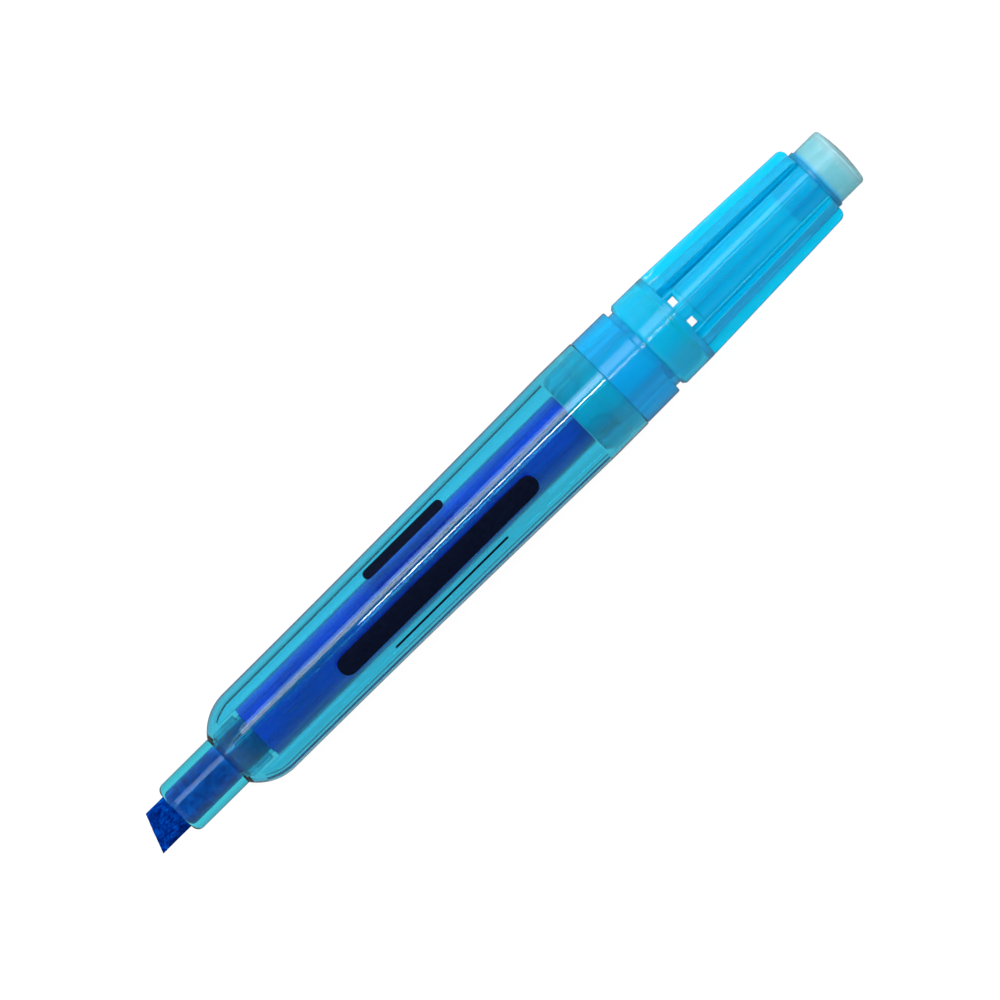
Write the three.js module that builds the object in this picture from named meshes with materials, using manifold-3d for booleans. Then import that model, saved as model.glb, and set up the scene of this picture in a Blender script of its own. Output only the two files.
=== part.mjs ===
// A tank highlighter with its cap posted on the tail, lying on its side.
// Millimetres. The pen's axis runs along +X, from the nib to the cap's end knob, and +Z is up.
// Distances called x below are measured along the axis from the nib's point.
import * as THREE from 'three';
import { mergeVertices } from 'three/addons/utils/BufferGeometryUtils.js';
import Module from 'manifold-3d';

const wasm = await Module();
wasm.setup();

// ---------------------------------------------------------------- driving dimensions
const SIDES = 24; // flats round each turned piece, one of them straight down
const TO_CORNER = 1 / Math.cos(Math.PI / SIDES); // radii are measured to the middle of a flat
const LENGTH = 130.2; // nib point to knob, cap posted
const PRESSED = 0.02; // gap between pressed pieces
const RUNNING = 0.05; // radial clearance of the cap's socket on the tail

const NIB_WIDTH = 5.5;
const NIB_THICKNESS = 3.6;
const NIB_CORNER = 1.0; // radius of the long edges
const NIB_SLANT = THREE.MathUtils.degToRad(20.6);
const NIB_FACET = 1.5; // length of each chisel face
const NIB_END = 25.3; // tip of the tail that feeds from the reservoir
const NIB_TIP_RADIUS = 0.6; // of that tail
const NIB_PLAY = 0.05; // between the tail and the reservoir's recess

const NOSE_FRONT = 5.35;
const NOSE_RADIUS = 4.0;
const NOSE_BORE = 2.95;
const SPIGOT_RADIUS = 3.45; // the holder's rear end, inside the barrel

const BARREL_FRONT = 15.0;
const BARREL_REAR = 86.5;
const BARREL_WALL = 0.85;
const SHOULDER_END = 20.7; // where the round shoulder meets the long taper
const SHOULDER_ARC = 7.2;
const BARREL_SLIM = 6.9; // radius at the shoulder
const SHOULDER_CENTRE = BARREL_SLIM - SHOULDER_ARC; // distance of the arc's centre from the axis
const BARREL_WIDE = 7.5; // radius at the widest ring
const WIDE_START = 80.0;
const WIDE_END = 81.3;
const BARREL_RIM = 7.45; // outer radius at the rear edge
const BARREL_SWELL = 1.8; // power of the taper: the barrel widens faster towards its rear
const RIM_CHAMFER = 0.15;
const SLEEVE_RADIUS = 3.95; // inner sleeve round the holder's spigot
const SLEEVE_END = 19.6;
const RIBS = 4;
const RIB_TURN = THREE.MathUtils.degToRad(-12);
const RIB_THICKNESS = 0.45;
const RIB_FRONT = 17.3;
const RIB_REAR = 79.6;
const RIB_GAP = 0.1; // between the ribs' inner edges and the reservoir's film

const RESERVOIR_FRONT = 20.3;
const RESERVOIR_REAR = 79.8;
const CORE_RADIUS = 4.2;
const FILM_THICKNESS = 0.08;

const SEAT_RADIUS = 6.65; // barrel bore that takes the rear plug
const SNAP_START = 83.7;
const SNAP_END = 84.4;
const SNAP_DEPTH = 0.14;
const SNAP_RAMP = 0.15; // sloping sides of the snap ring
const SNAP_PLAY = 0.05; // between the snap ring and the ends of its groove
const PLUG_FRONT = 79.9;
const PLUG_LEAD = [1.0, 0.6]; // length and depth of the lead-in at the plug's front
const PLUG_BORE = 5.4;
const GUSSETS = 4;
const GUSSET_REAR = 83.0;
const GUSSET_THICKNESS = 0.8;
const GUSSET_FOOT = 2.0; // distance of the gussets' inner corners from the axis
const GUSSET_SLOPE = [1.0, 1.5]; // length of the gussets' sloping rear edge, and how far their foot rises
const COLLAR_FRONT_RADIUS = 7.35;
const COLLAR_REAR_RADIUS = 7.28;
const COLLAR_REAR = 92.5;
const COLLAR_CHAMFER = 0.2;
const TAIL_RADIUS = 6.45;
const TAIL_END = 98.35;
const TAIL_CORNER = 1.5;
const TAIL_INNER_CORNER = 1.0;
const TAIL_WALL = 1.0;

const CAP_MOUTH = 93.4;
const CAP_MOUTH_RADIUS = 6.8;
const CAP_MOUTH_SLOPE = 0.5; // length of the slope from the mouth to the collar
const CAP_COLLAR_RADIUS = 7.2;
const CAP_COLLAR_DRAFT = 0.05; // how much slimmer the collar is at its rear
const CAP_STEP = 98.4; // front of the wall between the collar and the tube
const CAP_STEP_THICKNESS = 0.9;
const TUBE_FRONT_RADIUS = 5.33;
const TUBE_REAR_RADIUS = 4.87;
const TUBE_REAR = 124.7;
const TUBE_ENTRY = 4.6; // bore behind the cap's collar, where the vents open
const SEAL_START = 101.3; // edge of the bore that seals on the nose
const SEAL_BORE = 4.05;
const FINS = 8;
const FIN_THICKNESS = 1.75;
const FIN_FRONT_CREST = 7.15;
const FIN_REAR_CREST = 6.25;
const FIN_CORNER = 1.0;
const FIN_ROOT = 0.3; // how deep the fins start inside the tube's wall
const VENT_START = 99.5;
const VENT_LENGTH = 1.2;
const VENT_WIDTH = 1.6;
const VENT_DEPTH = 2.0; // through the tube's wall

const KNOB_RADIUS = 4.62;
const KNOB_WALL = 0.45;
const KNOB_DOME = 21; // radius of the domed end
const KNOB_FLAT = 1.5; // radius of the flat in the middle of the dome
const KNOB_CORNER = 0.6;
const PLUG_FLANGE = 0.68; // thickness of the end plug's flange
const END_SPIGOT_FRONT = 119.5;
const END_SPIGOT_WALL = 0.5;
const END_SPIGOT_LEAD = [0.6, 0.2]; // length and depth of its lead-in
const INSIDE_CHAMFER = 0.4; // in the knob's hollow
const FLANGE_SETBACK = 0.03; // the flange lies this far inside the tube's edge

// ---------------------------------------------------------------- materials
const COLOURS = {
  ink: 0x0a3fb0,
  holder: 0x35b6c6,
  barrel: 0x5cb9cc,
  film: 0x2a6fd6,
  plug: 0x0a9fdf,
  cap: 0x10b2e0,
  knob: 0x86d0da,
};

function plastic(colour) {
  return new THREE.MeshStandardMaterial({
    color: colour, roughness: 0.2, metalness: 0, transparent: true, opacity: 0.6,
  });
}

function fibre(colour) {
  return new THREE.MeshStandardMaterial({ color: colour, roughness: 0.85, metalness: 0 });
}

// ---------------------------------------------------------------- helpers
/** Points on an arc round [cx, cr], from one angle to another, in the plane of a turned profile. */
function arc(cx, cr, radius, fromDegrees, toDegrees, steps) {
  const points = [];
  for (let i = 0; i <= steps; i += 1) {
    const angle = THREE.MathUtils.degToRad(fromDegrees + ((toDegrees - fromDegrees) * i) / steps);
    points.push([cx + radius * Math.cos(angle), cr + radius * Math.sin(angle)]);
  }
  return points;
}

/** A solid of revolution about X. The profile of [x, radius] runs outside first, towards +X. */
function turned(profile) {
  const points = profile.map(([x, radius]) => new THREE.Vector2(radius * TO_CORNER, x));
  const lathe = new THREE.LatheGeometry(points, SIDES, Math.PI / SIDES, 2 * Math.PI);
  return lathe.rotateZ(-Math.PI / 2);
}

/** A ring-shaped solid of revolution: its profile is closed by its first point. */
function ring(profile) {
  return turned([...profile, profile[0]]);
}

/** The same shape as a solid that can be joined and cut. */
function solid(geometry) {
  geometry.deleteAttribute('normal');
  geometry.deleteAttribute('uv');
  const merged = mergeVertices(geometry, 1e-5);
  const corners = merged.index.array;
  const faces = [];
  for (let i = 0; i < corners.length; i += 3) {
    const [a, b, c] = corners.slice(i, i + 3);
    if (a !== b && b !== c && c !== a) faces.push(a, b, c);
  }
  return new wasm.Manifold(new wasm.Mesh({
    numProp: 3,
    vertProperties: merged.attributes.position.array,
    triVerts: new Uint32Array(faces),
  }));
}

/** A solid back as three.js geometry. */
function geometryOf(body) {
  const mesh = body.getMesh();
  const geometry = new THREE.BufferGeometry();
  geometry.setAttribute('position', new THREE.BufferAttribute(mesh.vertProperties, 3));
  geometry.setIndex(new THREE.BufferAttribute(mesh.triVerts, 1));
  geometry.computeVertexNormals();
  return geometry;
}

/** Copies of a shape that stands on top of the axis, evenly round it. */
function aroundAxis(geometry, count, firstAngle) {
  let all = null;
  for (let i = 0; i < count; i += 1) {
    const copy = solid(geometry.clone().rotateX(firstAngle + (i * 2 * Math.PI) / count));
    all = all ? all.add(copy) : copy;
  }
  return all;
}

/** A slab standing on top of the axis: an outline of [x, height] with a thickness across it. */
function slab(outline, thickness) {
  const shape = new THREE.Shape(outline.map(([x, height]) => new THREE.Vector2(x, height)));
  const plate = new THREE.ExtrudeGeometry(shape, { depth: thickness, bevelEnabled: false });
  return plate.translate(0, 0, -thickness / 2).rotateX(Math.PI / 2);
}

function piece(name, geometry, material) {
  const mesh = new THREE.Mesh(geometry, material);
  mesh.name = name;
  return mesh;
}

// ---------------------------------------------------------------- nib and its holder
/** A flat felt bar with rounded edges, cut to a slanted chisel in front and to a cone behind. */
function nib() {
  const [w, t, c] = [NIB_WIDTH / 2, NIB_THICKNESS / 2, NIB_CORNER];
  const section = new THREE.Shape();
  section.moveTo(w - c, -t);
  section.absarc(w - c, -t + c, c, -Math.PI / 2, 0);
  section.absarc(w - c, t - c, c, 0, Math.PI / 2);
  section.absarc(-w + c, t - c, c, Math.PI / 2, Math.PI);
  section.absarc(-w + c, -t + c, c, Math.PI, 1.5 * Math.PI);
  const bar = new THREE.ExtrudeGeometry(section, {
    depth: NIB_END, bevelEnabled: false, curveSegments: 4,
  });
  bar.rotateX(Math.PI / 2).rotateZ(Math.PI / 2);

  // The wedge's edge lies level, and leans back from the point on the -Y side.
  const wedge = new THREE.Shape([
    new THREE.Vector2(0, 0),
    new THREE.Vector2(NIB_FACET, -t),
    new THREE.Vector2(2 * NIB_END, -t),
    new THREE.Vector2(2 * NIB_END, t),
    new THREE.Vector2(NIB_FACET, t),
  ]);
  const chisel = new THREE.ExtrudeGeometry(wedge, { depth: 4 * NIB_WIDTH, bevelEnabled: false });
  chisel.rotateX(Math.PI / 2).translate(0, 2 * NIB_WIDTH, 0).rotateZ(-NIB_SLANT);
  chisel.translate(0, -w, 0);

  const coneBase = NIB_WIDTH / 2;
  const rod = turned([
    [-2 * NIB_WIDTH, 0],
    [-2 * NIB_WIDTH, NOSE_BORE],
    [RESERVOIR_FRONT - PRESSED, NOSE_BORE],
    [RESERVOIR_FRONT, coneBase - PRESSED],
    [NIB_END, NIB_TIP_RADIUS],
    [NIB_END, 0],
  ]);
  return geometryOf(solid(bar).intersect(solid(chisel)).intersect(solid(rod)));
}

/** The nose: a tube with a round front lip, and a slimmer spigot that is pressed into the barrel. */
function nibHolder() {
  const lip = NOSE_RADIUS - NOSE_BORE;
  return ring([
    ...arc(NOSE_FRONT + lip, NOSE_BORE, lip, 180, 90, 5),
    [BARREL_FRONT - PRESSED, NOSE_RADIUS],
    [BARREL_FRONT - PRESSED, SPIGOT_RADIUS],
    [RESERVOIR_FRONT - PRESSED, SPIGOT_RADIUS],
    [RESERVOIR_FRONT - PRESSED, NOSE_BORE],
  ]);
}

// ---------------------------------------------------------------- barrel
function barrelRadius(x) {
  const along = (x - SHOULDER_END) / (WIDE_START - SHOULDER_END);
  return BARREL_SLIM + (BARREL_WIDE - BARREL_SLIM) * along ** BARREL_SWELL;
}

/** The long taper from the shoulder to the widest ring, a depth inside the outer surface. */
function barrelTaper(depth) {
  const steps = 9;
  const points = [];
  for (let i = 1; i <= steps; i += 1) {
    const x = SHOULDER_END + ((WIDE_START - SHOULDER_END) * i) / steps;
    points.push([x, barrelRadius(x) - depth]);
  }
  return points;
}

/** The round shoulder, a depth inside its outer surface, from a place on its front to its top. */
function shoulder(depth, fromX, steps) {
  const radius = SHOULDER_ARC - depth;
  const start = THREE.MathUtils.radToDeg(Math.acos((fromX - SHOULDER_END) / radius));
  return arc(SHOULDER_END, SHOULDER_CENTRE, radius, start, 90, steps);
}

/** A thin shell with a round shoulder, an inner sleeve for the holder and long inner ribs. */
function barrel() {
  const insideArc = SHOULDER_ARC - BARREL_WALL;
  const sleeveFoot = SHOULDER_END - Math.sqrt(insideArc ** 2 - (SLEEVE_RADIUS - SHOULDER_CENTRE) ** 2);
  const shell = ring([
    [BARREL_FRONT, SPIGOT_RADIUS + PRESSED],
    ...shoulder(0, BARREL_FRONT, 8),
    ...barrelTaper(0),
    [WIDE_END, BARREL_WIDE],
    [BARREL_REAR - RIM_CHAMFER, BARREL_RIM],
    [BARREL_REAR, BARREL_RIM - RIM_CHAMFER],
    [BARREL_REAR, SEAT_RADIUS],
    [SNAP_END + SNAP_PLAY, SEAT_RADIUS],
    [SNAP_END + SNAP_PLAY, SEAT_RADIUS + SNAP_DEPTH],
    [SNAP_START - SNAP_PLAY, SEAT_RADIUS + SNAP_DEPTH],
    [SNAP_START - SNAP_PLAY, SEAT_RADIUS],
    ...barrelTaper(BARREL_WALL).reverse(),
    ...shoulder(BARREL_WALL, sleeveFoot, 6).reverse(),
    [SLEEVE_END, SLEEVE_RADIUS],
    [SLEEVE_END, SPIGOT_RADIUS + PRESSED],
  ]);

  const ribFoot = CORE_RADIUS + FILM_THICKNESS + RIB_GAP;
  const rib = slab(
    [[RIB_FRONT, ribFoot], [RIB_REAR, ribFoot], [RIB_REAR, BARREL_WIDE], [RIB_FRONT, BARREL_WIDE]],
    RIB_THICKNESS,
  );
  const middleOfWall = BARREL_WALL / 2;
  const coreFront = RIB_FRONT - 1;
  const core = turned([
    [coreFront, 0],
    ...shoulder(middleOfWall, coreFront, 6),
    ...barrelTaper(middleOfWall),
    [WIDE_START, 0],
  ]);
  const ribs = aroundAxis(rib, RIBS, RIB_TURN).intersect(solid(core));
  return geometryOf(solid(shell).add(ribs));
}

// ---------------------------------------------------------------- ink reservoir
/** The fibre bundle, with a recess in front for the nib's tail. */
function reservoirCore() {
  const recess = NIB_WIDTH / 2 + NIB_PLAY;
  return turned([
    [NIB_END + PRESSED, 0],
    [NIB_END + PRESSED, NIB_TIP_RADIUS + NIB_PLAY],
    [RESERVOIR_FRONT, recess],
    [RESERVOIR_FRONT, CORE_RADIUS],
    [RESERVOIR_REAR, CORE_RADIUS],
    [RESERVOIR_REAR, 0],
  ]);
}

/** The film wrapped round the fibre bundle. */
function reservoirFilm() {
  const inside = CORE_RADIUS + PRESSED;
  const outside = inside + FILM_THICKNESS;
  return ring([
    [RESERVOIR_FRONT, inside],
    [RESERVOIR_FRONT, outside],
    [RESERVOIR_REAR, outside],
    [RESERVOIR_REAR, inside],
  ]);
}

// ---------------------------------------------------------------- rear plug
/** A cup pressed into the barrel's rear: snap ring, stepped collar, and the tail that takes the cap. */
function rearPlug() {
  const insert = SEAT_RADIUS - PRESSED;
  const tailCorner = arc(TAIL_END - TAIL_CORNER, TAIL_RADIUS - TAIL_CORNER, TAIL_CORNER, 90, 0, 5);
  const snapCrest = insert + SNAP_DEPTH - PRESSED;
  const insideEnd = TAIL_END - TAIL_WALL;
  const insideCorner = arc(
    insideEnd - TAIL_INNER_CORNER,
    PLUG_BORE - TAIL_INNER_CORNER,
    TAIL_INNER_CORNER,
    0,
    90,
    3,
  );
  const [leadLength, leadDepth] = PLUG_LEAD;
  const cup = turned([
    [insideEnd, 0],
    ...insideCorner,
    [PLUG_FRONT, PLUG_BORE],
    [PLUG_FRONT, insert - leadDepth],
    [PLUG_FRONT + leadLength, insert],
    [SNAP_START, insert],
    [SNAP_START + SNAP_RAMP, snapCrest],
    [SNAP_END - SNAP_RAMP, snapCrest],
    [SNAP_END, insert],
    [BARREL_REAR + PRESSED, insert],
    [BARREL_REAR + PRESSED, COLLAR_FRONT_RADIUS],
    [COLLAR_REAR - COLLAR_CHAMFER, COLLAR_REAR_RADIUS],
    [COLLAR_REAR, COLLAR_REAR_RADIUS - COLLAR_CHAMFER],
    [COLLAR_REAR, TAIL_RADIUS],
    ...tailCorner,
    [TAIL_END, 0],
  ]);

  const [slopeLength, slopeRise] = GUSSET_SLOPE;
  const gussetRoot = (PLUG_BORE + insert - leadDepth) / 2;
  const gusset = slab(
    [
      [PLUG_FRONT, GUSSET_FOOT],
      [GUSSET_REAR, GUSSET_FOOT + slopeRise],
      [GUSSET_REAR + slopeLength, gussetRoot],
      [PLUG_FRONT, gussetRoot],
    ],
    GUSSET_THICKNESS,
  );
  return geometryOf(solid(cup).add(aroundAxis(gusset, GUSSETS, Math.PI / GUSSETS)));
}

// ---------------------------------------------------------------- cap
/** One fin: it stands on the tube, and its crest falls towards the knob and ends in a round corner. */
function capFin() {
  const front = CAP_STEP + CAP_STEP_THICKNESS / 2;
  const foot = (SEAL_BORE + TUBE_REAR_RADIUS) / 2;
  const fall = (FIN_FRONT_CREST - FIN_REAR_CREST) / (TUBE_REAR - front);
  const cornerCrest = FIN_REAR_CREST + fall * FIN_CORNER;
  return slab(
    [
      [front, TUBE_ENTRY + FIN_ROOT],
      [SEAL_START, foot],
      [TUBE_REAR, foot],
      ...arc(TUBE_REAR - FIN_CORNER, cornerCrest - FIN_CORNER, FIN_CORNER, 0, 90, 4),
      [front, FIN_FRONT_CREST],
    ],
    FIN_THICKNESS,
  );
}

/** A collar that fits the tail, a slim finned tube that seals on the nose, and a ring of vents. */
function capShell() {
  const socket = TAIL_RADIUS + RUNNING;
  const stepRear = CAP_STEP + CAP_STEP_THICKNESS;
  const body = ring([
    [CAP_MOUTH, socket],
    [CAP_MOUTH, CAP_MOUTH_RADIUS],
    [CAP_MOUTH + CAP_MOUTH_SLOPE, CAP_COLLAR_RADIUS],
    [stepRear, CAP_COLLAR_RADIUS - CAP_COLLAR_DRAFT],
    [stepRear, TUBE_FRONT_RADIUS],
    [TUBE_REAR, TUBE_REAR_RADIUS],
    [TUBE_REAR, SEAL_BORE],
    [SEAL_START, SEAL_BORE],
    [SEAL_START, TUBE_ENTRY],
    [CAP_STEP, TUBE_ENTRY],
    [CAP_STEP, socket],
  ]);
  const vent = new THREE.BoxGeometry(VENT_LENGTH, VENT_WIDTH, VENT_DEPTH);
  vent.translate(VENT_START + VENT_LENGTH / 2, 0, TUBE_FRONT_RADIUS);
  const betweenFins = Math.PI / FINS;
  const shell = solid(body)
    .add(aroundAxis(capFin(), FINS, 0))
    .subtract(aroundAxis(vent, FINS, betweenFins));
  return geometryOf(shell);
}

/** A hollow plug in the tube's rear end, with a flange and a domed knob. */
function capEndPlug() {
  const spigot = SEAL_BORE - PRESSED;
  const flangeFront = TUBE_REAR + PRESSED;
  const flangeRear = flangeFront + PLUG_FLANGE;
  const sag = (radius) => KNOB_DOME - Math.sqrt(KNOB_DOME ** 2 - radius ** 2);
  const flatSag = sag(KNOB_FLAT);
  const domeX = (radius) => LENGTH + flatSag - sag(radius);
  const cornerStart = KNOB_RADIUS - KNOB_CORNER;
  const edge = domeX(cornerStart);
  const insideEdge = edge - KNOB_WALL;
  const inside = KNOB_RADIUS - KNOB_WALL;
  const spigotBore = spigot - END_SPIGOT_WALL;
  const [leadLength, leadDepth] = END_SPIGOT_LEAD;
  const flangeRadius = TUBE_REAR_RADIUS - FLANGE_SETBACK;
  const domeMiddle = (cornerStart + KNOB_FLAT) / 2;
  return turned([
    [LENGTH - KNOB_WALL, 0],
    [LENGTH - KNOB_WALL, KNOB_FLAT],
    [insideEdge, inside - INSIDE_CHAMFER],
    [insideEdge - INSIDE_CHAMFER, inside],
    [flangeRear, inside],
    [flangeRear - INSIDE_CHAMFER, spigotBore],
    [END_SPIGOT_FRONT, spigotBore],
    [END_SPIGOT_FRONT, spigot - leadDepth],
    [END_SPIGOT_FRONT + leadLength, spigot],
    [flangeFront, spigot],
    [flangeFront, flangeRadius],
    [flangeRear, flangeRadius],
    [flangeRear, KNOB_RADIUS],
    ...arc(edge - KNOB_CORNER, cornerStart, KNOB_CORNER, 90, 0, 3),
    [domeX(domeMiddle), domeMiddle],
    [LENGTH, KNOB_FLAT],
    [LENGTH, 0],
  ]);
}

// ---------------------------------------------------------------- the pen
const pen = new THREE.Group();
pen.add(
  piece('nib', nib(), fibre(COLOURS.ink)),
  piece('nib_holder', nibHolder(), plastic(COLOURS.holder)),
  piece('barrel', barrel(), plastic(COLOURS.barrel)),
  piece('reservoir_core', reservoirCore(), fibre(COLOURS.ink)),
  piece('reservoir_film', reservoirFilm(), plastic(COLOURS.film)),
  piece('rear_plug', rearPlug(), plastic(COLOURS.plug)),
);

const cap = new THREE.Group();
cap.add(
  piece('cap_shell', capShell(), plastic(COLOURS.cap)),
  piece('cap_end_plug', capEndPlug(), plastic(COLOURS.knob)),
);

// The origin lies under the middle of the pen, and its widest ring's lowest flat is at z = 0.
const highlighter = new THREE.Group();
highlighter.add(pen, cap);
highlighter.position.set(-LENGTH / 2, 0, BARREL_WIDE);

export default highlighter;
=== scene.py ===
"""Looks of a see-through tank highlighter that lies on its side with its cap posted on its tail.

Shapes are written in millimetres. A length called x is measured along the pen's axis from the nib's
point, r is a distance from that axis, and an angle round the axis is counted from the top towards +Y.
"""

import math

import bmesh
import bpy
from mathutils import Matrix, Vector, noise


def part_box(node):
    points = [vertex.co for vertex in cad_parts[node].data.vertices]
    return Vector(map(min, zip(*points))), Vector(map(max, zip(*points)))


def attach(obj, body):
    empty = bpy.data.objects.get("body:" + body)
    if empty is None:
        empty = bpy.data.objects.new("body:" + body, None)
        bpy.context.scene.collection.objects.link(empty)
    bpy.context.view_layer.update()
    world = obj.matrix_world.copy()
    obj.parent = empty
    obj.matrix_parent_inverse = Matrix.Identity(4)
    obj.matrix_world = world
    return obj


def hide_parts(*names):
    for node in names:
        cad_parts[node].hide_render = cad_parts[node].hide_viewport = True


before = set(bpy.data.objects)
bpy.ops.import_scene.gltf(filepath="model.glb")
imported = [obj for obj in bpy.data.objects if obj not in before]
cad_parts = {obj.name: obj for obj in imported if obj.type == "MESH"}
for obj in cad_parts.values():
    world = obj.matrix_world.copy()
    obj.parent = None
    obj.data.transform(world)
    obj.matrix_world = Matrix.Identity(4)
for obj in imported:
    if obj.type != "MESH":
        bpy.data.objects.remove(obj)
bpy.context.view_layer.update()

# ------------------------------------------------------------------ sizes, as in the CAD part
MM = 0.001
NIB_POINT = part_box("nib")[0].x  # where the nib's point is along the frame's X
AXIS_HEIGHT = (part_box("barrel")[0].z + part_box("barrel")[1].z) / 2
LENGTH = 130.2
ROUND = 1 - 1e-5  # keeps a round piece just inside the CAD's flats
AIR = 0.03  # gap between nested clear pieces

NIB_WIDTH, NIB_THICKNESS, NIB_CORNER = 5.5, 3.6, 1.0
NIB_SLANT, NIB_FACET, NIB_END = math.radians(20.6), 1.5, 25.3
NOSE_FRONT, NOSE_RADIUS, NOSE_BORE, SPIGOT_RADIUS = 5.35, 4.0, 2.95, 3.45
BARREL_FRONT, BARREL_REAR, BARREL_WALL = 15.0, 86.5, 0.85
SHOULDER_END, SHOULDER_ARC, BARREL_SLIM = 20.7, 7.2, 6.9
SHOULDER_CENTRE = BARREL_SLIM - SHOULDER_ARC
BARREL_WIDE, WIDE_START, WIDE_END, BARREL_RIM, BARREL_SWELL = 7.5, 80.0, 81.3, 7.45, 1.8
SLEEVE_RADIUS, SLEEVE_END = 3.95, 19.6
RIBS, RIB_TURN, RIB_THICKNESS, RIB_FRONT, RIB_REAR = 4, math.radians(12), 0.45, 17.3, 79.6
RESERVOIR_FRONT, RESERVOIR_REAR, CORE_RADIUS, FILM_THICKNESS = 20.3, 79.8, 4.2, 0.08
SEAT_RADIUS, SNAP_START, SNAP_END, SNAP_DEPTH = 6.65, 83.7, 84.4, 0.14
PLUG_FRONT, PLUG_BORE, GUSSETS, GUSSET_REAR, GUSSET_FOOT = 79.9, 5.4, 4, 83.0, 2.0
COLLAR_FRONT_RADIUS, COLLAR_REAR_RADIUS, COLLAR_REAR = 7.35, 7.28, 92.5
TAIL_RADIUS, TAIL_END, TAIL_CORNER, TAIL_WALL = 6.45, 98.35, 1.5, 1.0
CAP_MOUTH, CAP_MOUTH_RADIUS, CAP_COLLAR_RADIUS, CAP_STEP = 93.4, 6.8, 7.2, 98.4
STEP_REAR = 99.3
SOCKET_RADIUS = TAIL_RADIUS + 0.05
TUBE_FRONT_RADIUS, TUBE_REAR_RADIUS, TUBE_REAR, TUBE_ENTRY = 5.33, 4.87, 124.7, 4.6
SEAL_START, SEAL_BORE = 101.3, 4.05
FINS, FIN_THICKNESS, FIN_FRONT_CREST, FIN_REAR_CREST, FIN_CORNER = 8, 1.75, 7.15, 6.25, 1.0
VENT_START, VENT_LENGTH, VENT_WIDTH = 99.5, 1.2, 1.6
KNOB_RADIUS, KNOB_WALL, KNOB_DOME, KNOB_CORNER, PLUG_FLANGE = 4.62, 0.45, 21.0, 0.6, 0.68
END_SPIGOT_FRONT, END_SPIGOT_WALL = 119.5, 0.5

AROUND = 192  # points round a turned piece
VENT_RINGS = 4  # rings from a vent's front edge to its rear edge


# ------------------------------------------------------------------ profiles and outlines
def arc(cx, cr, radius, start, end, steps):
    """Points on an arc round (cx, cr), between two angles in degrees."""
    points = []
    for i in range(steps + 1):
        angle = math.radians(start + (end - start) * i / steps)
        points.append((cx + radius * math.cos(angle), cr + radius * math.sin(angle)))
    return points


def filleted(profile, closed=True, steps=4):
    """A profile of (x, r) or (x, r, fillet) points, with each given corner rounded."""
    rounded = []
    count = len(profile)
    for i, point in enumerate(profile):
        radius = point[2] if len(point) > 2 else 0
        here = Vector(point[:2])
        if radius == 0 or (not closed and i in (0, count - 1)):
            rounded.append(tuple(here))
            continue
        back = Vector(profile[i - 1][:2]) - here
        ahead = Vector(profile[(i + 1) % count][:2]) - here
        turn = math.pi - back.angle(ahead)
        reach = min(radius * math.tan(turn / 2), 0.48 * back.length, 0.48 * ahead.length)
        start, end = here + back.normalized() * reach, here + ahead.normalized() * reach
        for k in range(steps + 1):
            t = k / steps
            rounded.append(tuple((1 - t) ** 2 * start + 2 * t * (1 - t) * here + t * t * end))
    return rounded


def circle_ring(x, radius, angles):
    return [(x, radius * math.sin(a), radius * math.cos(a)) for a in angles]


def even_angles(count=AROUND):
    return [2 * math.pi * i / count for i in range(count)]


def on_circle(radius, across):
    """The point in the upper half of a circle that is a distance across from the upright."""
    return (across, math.sqrt(max(radius**2 - across**2, 0)))


def bend(a, b, c, steps):
    """Points on a curve that leaves a towards b and comes into c from b."""
    points = []
    for k in range(steps):
        t = k / (steps - 1)
        points.append(tuple((1 - t) ** 2 * a[m] + 2 * t * (1 - t) * b[m] + t * t * c[m] for m in (0, 1)))
    return points


def turned_by(point, turn):
    """A (y, z) point turned round the axis, from the top towards +Y."""
    y, z = point
    return (y * math.cos(turn) + z * math.sin(turn), z * math.cos(turn) - y * math.sin(turn))


def radial_outline(base, crest, thickness, count, first, root, tip, cuts=()):
    """A circle of radius base with count radial ribs, out or in to radius crest.

    Returns (y, z) points in order round the axis, always the same number for the same ribs. root and
    tip are the fillets. cuts are angles from the middle of each gap that must have a point.
    """
    half = thickness / 2
    side = 1 if crest > base else -1
    room = abs(crest - base)
    root, tip = min(root, 0.4 * room), min(tip, 0.4 * room, 0.9 * half)

    foot = on_circle(base, half)
    low = (half, foot[1] + side * root)
    top = on_circle(crest, half)
    high = (half, top[1] - side * tip)
    right = []  # from the middle of the rib to its foot on the side with the larger angle
    right += [on_circle(crest, half * t) for t in (0, 0.3, 0.6)]
    right += bend(on_circle(crest, half - tip), top, high, 4)
    right += [tuple((high[m] + low[m]) / 2 for m in (0, 1))]
    right += bend(low, foot, on_circle(base, half + root), 5)
    gap = 2 * math.pi / count
    start = math.asin((half + root) / base)
    edges = [start] + [gap / 2 + c for c in sorted(cuts)] + [gap - start]
    between = []
    for a, b in zip(edges[:-1], edges[1:]):
        steps = 3 if len(edges) > 2 and b - a < 0.1 else 12
        between += [a + (b - a) * k / steps for k in range(steps)]
    between = between[1:]
    outline = []
    for i in range(count):
        turn = first + i * gap
        outline += [turned_by(p, turn) for p in right]
        outline += [turned_by((base * math.sin(a), base * math.cos(a)), turn) for a in between]
        outline += [turned_by((-y, z), turn + gap) for y, z in reversed(right[1:])]
    return outline


def outline_ring(x, outline):
    return [(x, y, z) for y, z in outline]


def angles_of(outline):
    return [math.atan2(y, z) for y, z in outline]


# ------------------------------------------------------------------ meshes
def new_object(name, coords, faces):
    mesh = bpy.data.meshes.new(name)
    mesh.from_pydata(coords, [], faces)
    obj = bpy.data.objects.new(name, mesh)
    bpy.context.scene.collection.objects.link(obj)
    return obj


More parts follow.
